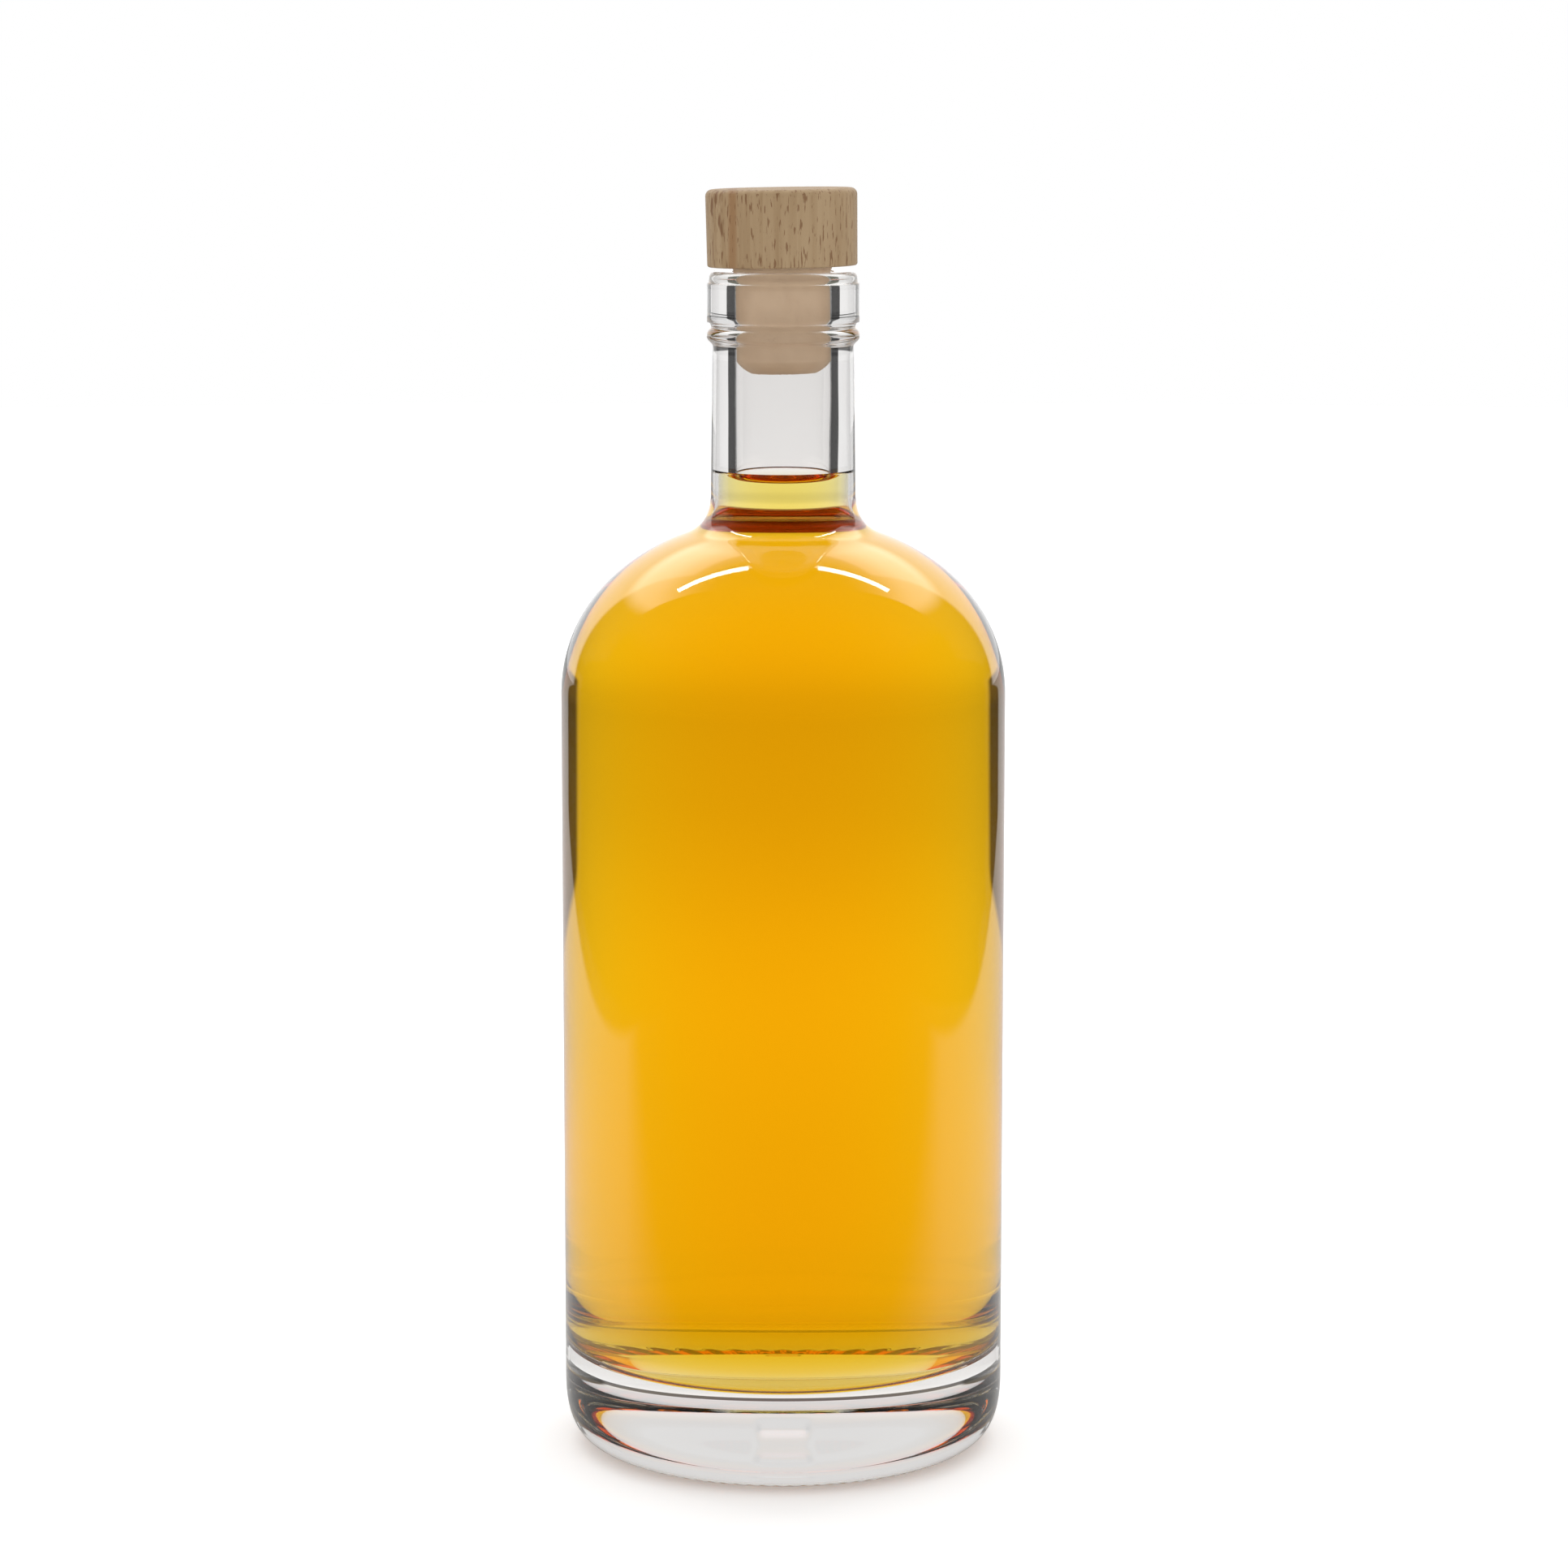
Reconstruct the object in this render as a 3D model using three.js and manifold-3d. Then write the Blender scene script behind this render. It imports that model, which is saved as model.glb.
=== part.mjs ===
// Glass bottle: clear heavy-base round bottle, its liquid fill and a wooden-headed stopper.
// Millimetres, +Z up, base ring on z = 0, bottle axis on x = y = 0, front towards -Y.
import * as THREE from 'three';
import { mergeVertices } from 'three/addons/utils/BufferGeometryUtils.js';
import Module from 'manifold-3d';

const wasm = await Module();
wasm.setup();

const SEGMENTS = 64;            // facets round every turned piece

// Outside of the bottle
const BODY_R = 42.6;
const LIP_TOP_Z = 227.2;
const RING_IN_R = 30.5;         // flat contact ring under the base
const RING_OUT_R = 33;
const PUSH_UP = 2.7;            // depth of the flat hollow under the base
const PUSH_UP_R = 29.9;         // its flat part
const HEEL_Z = 14;              // height where the heel meets the straight wall
const HEEL_N = 2.8;             // heel roundness, 2 is an ellipse
const SHOULDER_Z = 146.3;       // top of the straight wall
const SHOULDER_RISE = 34.1;     // shoulder height if it ran on to the axis
const SHOULDER_N = 2.1;
const SHOULDER_END_R = 18.75;   // where the shoulder turns into the neck
const NECK_LOW_R = 13.8;
const NECK_LOW_Z = 185.2;
const NECK_TOP_R = 13.45;

// Finish, heights as drops below the lip
const BEAD_R = 14.56;
const BEAD_DROP = 12.05;
const BEAD_ROUND = 1.56;
const GROOVE_R = 13.75;
const GROOVE_DROP = 10.35;
const LIP_R = 14.48;
const LIP_DROP = 9.5;
const SEAM_DROP = 2.4;
const STEP_R = 14.1;
const LIP_ROUND = 1.2;
const MOUTH_ROUND = 0.8;

// Inside of the bottle
const WALL = 3.65;
const FLOOR_Z = 18.4;           // inner floor at its rim, the heavy base lies below it
const FLOOR_CROWN = 0.8;
const FLOOR_CORNER = 5;
const CAVITY_RISE = 30.6;       // inner shoulder height if it ran on to the axis
const CAVITY_END_R = 16.5;
const BORE_R = 9.2;
const BORE_LOW_R = 9.1;
const BORE_LOW_Z = 184;

// Index notch in the heel at the back
const NOTCH_TOP_Z = 8.8;
const NOTCH_FLOOR_Y = 41.8;
const NOTCH_HALF_WIDTH = 1.3;
const NOTCH_DRAFT = 2;          // widening from its floor out to the cutter's outer face

// Liquid
const FILL_GAP = 0.3;           // between the liquid and the glass round it
const FILL_LEVEL_Z = 187.3;
const MENISCUS_RISE = 2.1;
const MENISCUS_REACH = 1.6;

// Stopper
const SHANK_FIT = 0.3;          // between the shank and the bore, and in the head's recess
const SHANK_R = BORE_R - SHANK_FIT;
const COLLAR_R = 9.4;           // uncompressed shank above the lip
const SHANK_BOTTOM_Z = 208;
const SHANK_CORNER_R = 2.9;
const SHANK_CORNER_Z = 2.6;
const HEAD_LIFT = 1;            // between the lip and the underside of the head
const HEAD_HEIGHT = 14.6;
const HEAD_LOW_R = 14.24;
const HEAD_TOP_R = 14.38;
const HEAD_EDGE_TOP = 1.3;
const HEAD_EDGE_LOW = 0.45;
const RECESS_DEPTH = 8;
const LEAN_DEG = 0.9;           // the stopper sits slightly askew, its head towards -X
const LEAN_PIVOT_Z = LIP_TOP_Z - 9;

const HEAD_BOTTOM_Z = LIP_TOP_Z + HEAD_LIFT;

const at = (r, z) => new THREE.Vector2(r, z);

/** Points on a rounded quarter: radius a outwards, b up (or down when negative), exponent n. */
function quarter(centreR, centreZ, a, b, n, fromDeg, toDeg, steps) {
  const points = [];
  for (let i = 0; i <= steps; i += 1) {
    const t = THREE.MathUtils.degToRad(fromDeg + ((toDeg - fromDeg) * i) / steps);
    const across = Math.max(Math.cos(t), 0) ** (2 / n);
    const up = Math.max(Math.sin(t), 0) ** (2 / n);
    points.push(at(centreR + a * across, centreZ + b * up));
  }
  return points;
}

/** Angle in degrees at which a rounded quarter about the axis has narrowed to the given radius. */
function angleAtRadius(radius, a, n) {
  return THREE.MathUtils.radToDeg(Math.acos((radius / a) ** (n / 2)));
}

/** Smooth fillet that leaves the given curve along its own slope and ends upright at `end`. */
function fillet(curve, end, steps) {
  const [before, start] = curve.slice(-2);
  const reach = (end.x - start.x) / (start.x - before.x);
  const corner = at(end.x, start.y + (start.y - before.y) * reach);
  return new THREE.QuadraticBezierCurve(start, corner, end).getPoints(steps).slice(1);
}

/** Solid of revolution about +Z from a profile that starts and ends on the axis. */
function turned(profile) {
  return new THREE.LatheGeometry(profile, SEGMENTS).rotateX(Math.PI / 2);
}

function undersideProfile() {
  const flat = [0, 0.35, 0.7, 1].map((share) => at(PUSH_UP_R * share, PUSH_UP));
  return [...flat, at(RING_IN_R, 0)];
}

function finishProfile() {
  const top = LIP_TOP_Z;
  const beadAxisR = BEAD_R - BEAD_ROUND;
  const sweep = Math.acos((GROOVE_R - beadAxisR) / BEAD_ROUND);
  const bead = [-1, -0.6, -0.2, 0.2, 0.6, 1].map((share) => at(
    beadAxisR + BEAD_ROUND * Math.cos(sweep * share),
    top - BEAD_DROP + BEAD_ROUND * Math.sin(sweep * share),
  ));
  const lipFoot = quarter(LIP_R, top - GROOVE_DROP, GROOVE_R - LIP_R, GROOVE_DROP - LIP_DROP, 2, 0, 90, 3);
  const lipEdge = quarter(STEP_R - LIP_ROUND, top - LIP_ROUND, LIP_ROUND, LIP_ROUND, 2, 0, 90, 4);
  const mouth = quarter(BORE_R + MOUTH_ROUND, top - MOUTH_ROUND, -MOUTH_ROUND, MOUTH_ROUND, 2, 90, 0, 3);
  return [at(NECK_TOP_R, top - BEAD_DROP - BEAD_ROUND), ...bead, ...lipFoot,
    at(LIP_R, top - SEAM_DROP), at(STEP_R, top - SEAM_DROP + 0.35), ...lipEdge, ...mouth];
}

function outsideProfile() {
  const heel = quarter(RING_OUT_R, HEEL_Z, BODY_R - RING_OUT_R, -HEEL_Z, HEEL_N, 90, 0, 9);
  const end = angleAtRadius(SHOULDER_END_R, BODY_R, SHOULDER_N);
  const shoulder = quarter(0, SHOULDER_Z, BODY_R, SHOULDER_RISE, SHOULDER_N, 0, end, 12);
  return [...undersideProfile(), ...heel, ...shoulder,
    ...fillet(shoulder, at(NECK_LOW_R, NECK_LOW_Z), 6), ...finishProfile()];
}

/** Cavity from the floor's centre up to the bore, shrunk all round by `gap`. */
function cavityProfile(gap) {
  const wallR = BODY_R - WALL - gap;
  const corner = quarter(wallR - FLOOR_CORNER, FLOOR_Z + gap + FLOOR_CORNER,
    FLOOR_CORNER, -FLOOR_CORNER, 2, 90, 0, 5);
  const end = angleAtRadius(CAVITY_END_R - gap, wallR, SHOULDER_N);
  const shoulder = quarter(0, SHOULDER_Z, wallR, CAVITY_RISE - gap, SHOULDER_N, 0, end, 10);
  const floor = [0, 0.5].map((share) => at(
    (wallR - FLOOR_CORNER) * share, FLOOR_Z + gap + FLOOR_CROWN * (1 - share ** 2)));
  return [...floor, ...corner, ...shoulder,
    ...fillet(shoulder, at(BORE_LOW_R - gap, BORE_LOW_Z), 6)];
}

/** Closed mesh to a solid that can be cut; the lathe's seam and poles are welded first. */
function toSolid(geometry) {
  const bare = geometry.clone();
  bare.deleteAttribute('normal');
  bare.deleteAttribute('uv');
  const welded = mergeVertices(bare, 1e-4);
  const index = welded.index.array;
  const triangles = [];
  for (let i = 0; i < index.length; i += 3) {
    const [a, b, c] = index.slice(i, i + 3);
    if (a !== b && b !== c && c !== a) triangles.push(a, b, c);
  }
  return new wasm.Manifold(new wasm.Mesh({
    numProp: 3,
    vertProperties: new Float32Array(welded.getAttribute('position').array),
    triVerts: new Uint32Array(triangles),
  }));
}

function fromSolid(solid) {
  const mesh = solid.getMesh();
  const geometry = new THREE.BufferGeometry();
  geometry.setAttribute('position', new THREE.BufferAttribute(mesh.vertProperties, 3));
  geometry.setIndex(new THREE.BufferAttribute(mesh.triVerts, 1));
  geometry.computeVertexNormals();
  return geometry;
}

/** Wedge of air that leaves a small flat-backed notch in the heel at the back. */
function notchCutter() {
  const far = BODY_R + 3;
  const wide = NOTCH_HALF_WIDTH + NOTCH_DRAFT;
  const outline = new THREE.Shape([at(-NOTCH_HALF_WIDTH, NOTCH_FLOOR_Y), at(NOTCH_HALF_WIDTH, NOTCH_FLOOR_Y),
    at(wide, far), at(-wide, far)]);
  const depth = NOTCH_TOP_Z + 1;
  return new THREE.ExtrudeGeometry(outline, { depth, bevelEnabled: false }).translate(0, 0, -1);
}

function glassBottle() {
  const profile = [...outsideProfile(), ...cavityProfile(0).reverse()];
  return fromSolid(toSolid(turned(profile)).subtract(toSolid(notchCutter())));
}

function spiritFill() {
  const wetR = BORE_LOW_R - FILL_GAP;
  const surface = [0, 0.4, 1, 2, 4, 6.5].map((inward) => at(
    wetR - inward, FILL_LEVEL_Z + MENISCUS_RISE * Math.exp(-inward / MENISCUS_REACH)));
  return turned([...cavityProfile(FILL_GAP), ...surface, at(0, FILL_LEVEL_Z)]);
}

/** Seats a stopper piece at the slight lean it has in the mouth. */
function leaning(geometry) {
  return geometry.translate(0, 0, -LEAN_PIVOT_Z)
    .rotateY(THREE.MathUtils.degToRad(-LEAN_DEG))
    .translate(0, 0, LEAN_PIVOT_Z);
}

function stopperHead() {
  const recessR = COLLAR_R + SHANK_FIT;
  const top = HEAD_BOTTOM_Z + HEAD_HEIGHT;
  const lowEdge = quarter(HEAD_LOW_R - HEAD_EDGE_LOW, HEAD_BOTTOM_Z + HEAD_EDGE_LOW,
    HEAD_EDGE_LOW, -HEAD_EDGE_LOW, 2, 90, 0, 3);
  const topEdge = quarter(HEAD_TOP_R - HEAD_EDGE_TOP, top - HEAD_EDGE_TOP,
    HEAD_EDGE_TOP, HEAD_EDGE_TOP, 2, 0, 90, 5);
  const ceiling = HEAD_BOTTOM_Z + RECESS_DEPTH;
  return leaning(turned([at(0, ceiling), at(recessR, ceiling), at(recessR, HEAD_BOTTOM_Z),
    ...lowEdge, ...topEdge, at(0, top)]));
}

function stopperShank() {
  const foot = quarter(SHANK_R - SHANK_CORNER_R, SHANK_BOTTOM_Z + SHANK_CORNER_Z,
    SHANK_CORNER_R, -SHANK_CORNER_Z, 2, 90, 0, 5);
  const top = HEAD_BOTTOM_Z + RECESS_DEPTH - SHANK_FIT;
  return leaning(turned([at(0, SHANK_BOTTOM_Z), ...foot, at(SHANK_R, LIP_TOP_Z),
    at(COLLAR_R, LIP_TOP_Z + 0.8), at(COLLAR_R, top), at(0, top)]));
}

function named(name, geometry, material) {
  const mesh = new THREE.Mesh(geometry, new THREE.MeshStandardMaterial(material));
  mesh.name = name;
  return mesh;
}

const bottle = new THREE.Group();
bottle.name = 'glass_bottle_with_stopper';
bottle.add(
  named('glass_bottle', glassBottle(),
    { color: 0xe6eeea, roughness: 0.03, transparent: true, opacity: 0.35 }),
  named('spirit_fill', spiritFill(), { color: 0xe39a10, roughness: 0.05 }),
  named('stopper_head', stopperHead(), { color: 0xc8a878, roughness: 0.7 }),
  named('stopper_shank', stopperShank(), { color: 0xc0a588, roughness: 0.6 }),
);

export default bottle;
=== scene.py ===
"""Glass bottle: fine glass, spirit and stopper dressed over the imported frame, with its studio."""

import logging
import math
from dataclasses import dataclass, field

import bpy
import numpy as np
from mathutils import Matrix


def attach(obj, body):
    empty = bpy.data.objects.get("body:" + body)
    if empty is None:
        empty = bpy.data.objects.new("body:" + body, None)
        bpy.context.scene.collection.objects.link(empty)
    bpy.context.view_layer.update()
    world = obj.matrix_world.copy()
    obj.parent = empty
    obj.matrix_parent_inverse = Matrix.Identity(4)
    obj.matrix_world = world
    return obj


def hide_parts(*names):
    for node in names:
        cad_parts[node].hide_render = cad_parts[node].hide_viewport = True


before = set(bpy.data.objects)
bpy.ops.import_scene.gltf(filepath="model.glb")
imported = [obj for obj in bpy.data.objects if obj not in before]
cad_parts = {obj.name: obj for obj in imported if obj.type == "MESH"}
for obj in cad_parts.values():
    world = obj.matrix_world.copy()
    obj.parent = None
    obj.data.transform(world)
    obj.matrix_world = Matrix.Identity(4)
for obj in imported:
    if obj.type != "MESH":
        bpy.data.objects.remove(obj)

LOG = logging.getLogger("glass_bottle")
MM = 0.001
Tree = bpy.types.NodeTree


# Profiles and meshes


def quarter(centre: tuple, reach: tuple, power: float, span: tuple, count: int) -> np.ndarray:
    """Rounded quarter turn: r = cr + a cos(t)^(2/n), z = cz + b sin(t)^(2/n).

    Args:
        centre: Radius and height of the quarter's centre, in mm.
        reach: Semi-axes a outwards and b upwards; a negative value turns it over.
        power: Exponent n; 2 gives an ellipse.
        span: First and last angle t in degrees, within 0 to 90.
        count: Number of points.

    Returns:
        Array of (radius, height) rows.
    """
    t = np.radians(np.linspace(span[0], span[1], count))
    across = np.clip(np.cos(t), 0, None) ** (2 / power)
    up = np.clip(np.sin(t), 0, None) ** (2 / power)
    return np.column_stack([centre[0] + reach[0] * across, centre[1] + reach[1] * up])


def fillet(curve: np.ndarray, end: tuple, count: int) -> np.ndarray:
    """Quadratic curve that leaves `curve` along its last slope and ends upright at `end`.

    Args:
        curve: Points whose last two give the start and the slope.
        end: Radius and height where the fillet stands upright.
        count: Number of points, the start left out.

    Returns:
        Array of (radius, height) rows.
    """
    before, start = curve[-2], curve[-1]
    reach = (end[0] - start[0]) / (start[0] - before[0])
    corner = np.array([end[0], start[1] + (start[1] - before[1]) * reach])
    t = np.linspace(0, 1, count + 1)[1:, None]
    return (1 - t) ** 2 * start + 2 * t * (1 - t) * corner + t ** 2 * np.array(end)


def straight(start: tuple, end: tuple, count: int) -> np.ndarray:
    """Evenly spaced points between two profile points, both left out."""
    t = np.linspace(0, 1, count + 2)[1:-1, None]
    return (1 - t) * np.array(start) + t * np.array(end)


def angles_with_focus(count: int, centre: float, half_width: float, extra: int) -> np.ndarray:
    """Even angles round the axis, with extra ones packed round a detail.

    Args:
        count: Even angles over the full turn.
        centre: Angle of the detail, in radians from +X.
        half_width: Half the sector that gets the extra angles, in radians.
        extra: Number of extra angles.

    Returns:
        Sorted angles, each once.
    """
    even = np.linspace(0, 2 * math.pi, count, endpoint=False)
    near = centre + np.linspace(-half_width, half_width, extra)
    clear = even[np.abs(even - centre) > half_width * 1.02]
    return np.sort(np.concatenate([clear, near]))


def turned_points(profile: np.ndarray, angles: np.ndarray) -> np.ndarray:
    """Grid of a turned surface: x = r cos(phi), y = r sin(phi), z = height, in mm."""
    r, z = profile[:, 0][:, None], profile[:, 1][:, None]
    return np.stack([r * np.cos(angles), r * np.sin(angles), z + 0 * angles], axis=-1)


def closed_turning(name: str, grid: np.ndarray) -> bpy.types.Object:
    """Mesh from a grid whose first and last rows each meet in one pole vertex.

    Args:
        name: Name of the new object.
        grid: Rows along the profile, columns round the axis, points in mm. The profile runs up
            the outside, so that each face (row, column, next column, next row) points outwards.

    Returns:
        Object at the origin with smooth faces.
    """
    rows, columns = grid.shape[0] - 2, grid.shape[1]
    inner = grid[1:-1].reshape(-1, 3)
    points = np.vstack([inner, grid[0, 0], grid[-1, 0]]) * MM
    foot, crown = rows * columns, rows * columns + 1
    here = np.arange(columns)
    beside = (here + 1) % columns
    level = np.arange(rows - 1)[:, None] * columns
    quads = np.stack([level + here, level + beside, level + columns + beside,
                      level + columns + here], axis=-1).reshape(-1)
    last = (rows - 1) * columns
    low = np.stack([np.full(columns, foot), beside, here], axis=-1).reshape(-1)
    high = np.stack([last + here, last + beside, np.full(columns, crown)], axis=-1).reshape(-1)
    loops = np.concatenate([quads, low, high]).astype(np.int32)
    sizes = np.concatenate([np.full(quads.size // 4, 4), np.full(2 * columns, 3)]).astype(np.int32)
    starts = np.concatenate([[0], np.cumsum(sizes)[:-1]]).astype(np.int32)
    mesh = bpy.data.meshes.new(name)
    mesh.vertices.add(len(points))
    mesh.vertices.foreach_set("co", points.astype(np.float32).ravel())
    mesh.loops.add(loops.size)
    mesh.loops.foreach_set("vertex_index", loops)
    mesh.polygons.add(sizes.size)
    mesh.polygons.foreach_set("loop_start", starts)
    mesh.polygons.foreach_set("loop_total", sizes)
    mesh.update(calc_edges=True)
    mesh.shade_smooth()
    made = bpy.data.objects.new(name, mesh)
    bpy.context.scene.collection.objects.link(made)
    return made


def smooth_step(low: float, high: float, value: np.ndarray) -> np.ndarray:
    """Cubic step from 0 at `low` to 1 at `high`."""
    t = np.clip((value - low) / (high - low), 0, 1)
    return t * t * (3 - 2 * t)


# Materials


def link(tree: Tree, source: object, target: object) -> None:
    """Joins an output socket to an input socket."""
    tree.links.new(source, target)


def new_material(name: str) -> tuple:
    """Empty node material.

    Args:
        name: Material name.

    Returns:
        The material, its tree, its Principled shader and its output node.
    """
    material = bpy.data.materials.new(name)
    material.use_nodes = True
    tree = material.node_tree
    tree.nodes.clear()
    output = tree.nodes.new("ShaderNodeOutputMaterial")
    shader = tree.nodes.new("ShaderNodeBsdfPrincipled")
    link(tree, shader.outputs["BSDF"], output.inputs["Surface"])
    return material, tree, shader, output


def maths(tree: Tree, operation: str, first: object, second: object = None) -> object:
    """Math node.

    Args:
        tree: Tree that gets the node.
        operation: Blender's operation name.
        first: Socket or number.
        second: Socket or number, or None where the operation takes one value.

    Returns:
        The node's output socket.
    """
    node = tree.nodes.new("ShaderNodeMath")
    node.operation = operation
    for slot, value in zip(node.inputs, (first, second)):
        if value is None:
            continue
        if isinstance(value, (int, float)):
            slot.default_value = value
        else:
            link(tree, value, slot)
    return node.outputs[0]


def ranged(tree: Tree, value: object, span: tuple, to: tuple = (0.0, 1.0)) -> object:
    """Smooth Map Range node.

    Args:
        tree: Tree that gets the node.
        value: Socket to map.
        span: Lowest and highest value read.
        to: Lowest and highest value given out.

    Returns:
        The node's output socket.
    """
    node = tree.nodes.new("ShaderNodeMapRange")
    node.interpolation_type = "SMOOTHSTEP"
    link(tree, value, node.inputs["Value"])
    node.inputs["From Min"].default_value, node.inputs["From Max"].default_value = span
    node.inputs["To Min"].default_value, node.inputs["To Max"].default_value = to
    return node.outputs["Result"]


def product(tree: Tree, *factors: object) -> object:
    """Product of sockets or numbers, multiplied in their order."""
    made = factors[0]
    for factor in factors[1:]:
        made = maths(tree, "MULTIPLY", made, factor)
    return made


def length(tree: Tree, across: object, along: object) -> object:
    """Length of a flat vector: sqrt(across^2 + along^2)."""
    return maths(tree, "SQRT", maths(tree, "ADD", product(tree, across, across),
                                     product(tree, along, along)))


def position(tree: Tree, space: str = "Object") -> tuple:
    """X, Y and Z sockets of the Object coordinates, or of another space of the same node."""
    place = tree.nodes.new("ShaderNodeTexCoord")
    axes = tree.nodes.new("ShaderNodeSeparateXYZ")
    link(tree, place.outputs[space], axes.inputs[0])
    return tuple(axes.outputs)


def mixed(tree: Tree, share: object, first: object, second: object) -> object:
    """Colour mix of two sockets or colours.

    Args:
        tree: Tree that gets the node.
        share: Socket or number, 0 for the first colour.
        first: Socket or (r, g, b).
        second: Socket or (r, g, b).

    Returns:
        The mixed colour's socket.
    """
    node = tree.nodes.new("ShaderNodeMix")
    node.data_type = "RGBA"
    slots = {slot.identifier: slot for slot in node.inputs}
    for slot, value in ((slots["Factor_Float"], share), (slots["A_Color"], first),
                        (slots["B_Color"], second)):
        if isinstance(value, tuple):
            slot.default_value = (*value, 1.0)
        elif isinstance(value, (int, float)):
            slot.default_value = value
        else:
            link(tree, value, slot)
    return next(slot for slot in node.outputs if slot.identifier == "Result_Color")


def glass_rays(tree: Tree) -> tuple:
    """Sockets that tell how glass shows a surface: 1 for a ray through it, 1 for a mirrored one.

    Rays that already lit a matt face count as neither, so only what the glass shows changes.

    Args:
        tree: Material or world tree.

    Returns:
        The Light Path node, the seen-through socket and the mirrored socket.
    """
    ray = tree.nodes.new("ShaderNodeLightPath")
    clear = maths(tree, "SUBTRACT", 1.0, maths(tree, "MINIMUM", ray.outputs["Diffuse Depth"], 1.0))
    through = product(tree, ray.outputs["Is Transmission Ray"], clear)
    mirror = product(tree, ray.outputs["Is Glossy Ray"], maths(tree, "SUBTRACT", clear, through))
    return ray, through, mirror


def fibre_group() -> Tree:
    """Node group with a field of short upright fibres, used by the wood and the cork.

    Noise on Object coordinates squeezed by `Length` along Z, cut at `Threshold`.

    Returns:
        The group, with a Mask and a Tone output.
    """
    made = bpy.data.node_groups.get("upright_fibres")
    if made:
        return made
    group = bpy.data.node_groups.new("upright_fibres", "ShaderNodeTree")
    face = group.interface
    for name, low in (("Scale", 500.0), ("Length", 0.25), ("Threshold", 0.6), ("Softness", 0.05)):
        knob = face.new_socket(name=name, in_out="INPUT", socket_type="NodeSocketFloat")
        knob.default_value = low
    face.new_socket(name="Mask", in_out="OUTPUT", socket_type="NodeSocketFloat")
    face.new_socket(name="Tone", in_out="OUTPUT", socket_type="NodeSocketFloat")
    entry, leave = group.nodes.new("NodeGroupInput"), group.nodes.new("NodeGroupOutput")
    place = group.nodes.new("ShaderNodeTexCoord")
    squeeze = group.nodes.new("ShaderNodeCombineXYZ")
    squeeze.inputs[0].default_value = squeeze.inputs[1].default_value = 1.0
    link(group, entry.outputs["Length"], squeeze.inputs[2])
    stretched = group.nodes.new("ShaderNodeVectorMath")
    stretched.operation = "MULTIPLY"
    link(group, place.outputs["Object"], stretched.inputs[0])
    link(group, squeeze.outputs[0], stretched.inputs[1])
    noise = group.nodes.new("ShaderNodeTexNoise")
    noise.inputs["Detail"].default_value = 2.0
    link(group, stretched.outputs[0], noise.inputs["Vector"])
    link(group, entry.outputs["Scale"], noise.inputs["Scale"])
    above = maths(group, "SUBTRACT", noise.outputs["Fac"], entry.outputs["Threshold"])
    share = maths(group, "DIVIDE", above, entry.outputs["Softness"])
    clamp = group.nodes.new("ShaderNodeClamp")
    link(group, share, clamp.inputs["Value"])
    link(group, clamp.outputs[0], leave.inputs["Mask"])
    link(group, noise.outputs["Fac"], leave.inputs["Tone"])
    return group


def fibres(tree: Tree, scale: float, length: float, threshold: float,
           softness: float) -> bpy.types.Node:
    """Placed copy of the fibre group.

    Args:
        tree: Tree that gets the group node.
        scale: Fibres per metre across the grain, roughly.
        length: Squeeze along Z; smaller gives longer fibres.
        threshold: Noise level above which a fibre shows.
        softness: Width of the fibre's soft edge in noise level.

    Returns:
        The group node.
    """
    node = tree.nodes.new("ShaderNodeGroup")
    node.node_tree = fibre_group()
    for name, value in (("Scale", scale), ("Length", length), ("Threshold", threshold),
                        ("Softness", softness)):
        node.inputs[name].default_value = value
    return node


def dented(tree: Tree, shader: bpy.types.Node, depth: object, strength: float,
           distance: float) -> None:
    """Bump that presses `depth` into a surface.

    Args:
        tree: Material tree.
        shader: Shader that gets the normal.
        depth: Socket, 1 for the deepest.
        strength: Strength of the bump.
        distance: Greatest depth in metres.
    """
    relief = tree.nodes.new("ShaderNodeBump")
    relief.inputs["Strength"].default_value = strength
    relief.inputs["Distance"].default_value = distance
    relief.invert = True
    link(tree, depth, relief.inputs["Height"])
    link(tree, relief.outputs["Normal"], shader.inputs["Normal"])


@dataclass(frozen=True)
class ClearGlass:
    """Flint glass: clear, with a faint warm tint."""

    name: str = "clear_flint_glass"
    ior: float = 1.52
    tint: tuple = (0.998, 0.985, 0.975)
    glint: float = 1.0
    ribs: int = 92
    rib_height: float = 0.10 * MM
    rib_low: tuple = (1.3 * MM, 0.4 * MM)
    rib_reach: tuple = (30.7 * MM, 31.4 * MM)

    def build(self) -> bpy.types.Material:
        """Returns the glass material; `glint` scales its straight-on reflection."""
        material, tree, shader, _ = new_material(self.name)
        shader.inputs["Specular Tint"].default_value = (self.glint, self.glint, self.glint, 1)
        shader.inputs["Base Color"].default_value = (*self.tint, 1)
        shader.inputs["Roughness"].default_value = 0.0
        shader.inputs["IOR"].default_value = self.ior
        shader.inputs["Transmission Weight"].default_value = 1.0
        self.knurl(tree, shader)
        return material

    def knurl(self, tree: Tree, shader: bpy.types.Node) -> None:
        """Fine radial ribs on the contact ring: height = cos(count * phi) under the heel."""
        x, y, z = position(tree)
        wave = maths(tree, "COSINE", product(tree, maths(tree, "ARCTAN2", y, x), float(self.ribs)))
        ring = product(tree, ranged(tree, z, self.rib_low),
                       ranged(tree, length(tree, x, y), self.rib_reach))
        relief = tree.nodes.new("ShaderNodeBump")
        relief.inputs["Strength"].default_value = 1.0
        relief.inputs["Distance"].default_value = self.rib_height
        link(tree, product(tree, wave, ring), relief.inputs["Height"])
        link(tree, relief.outputs["Normal"], shader.inputs["Normal"])


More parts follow.
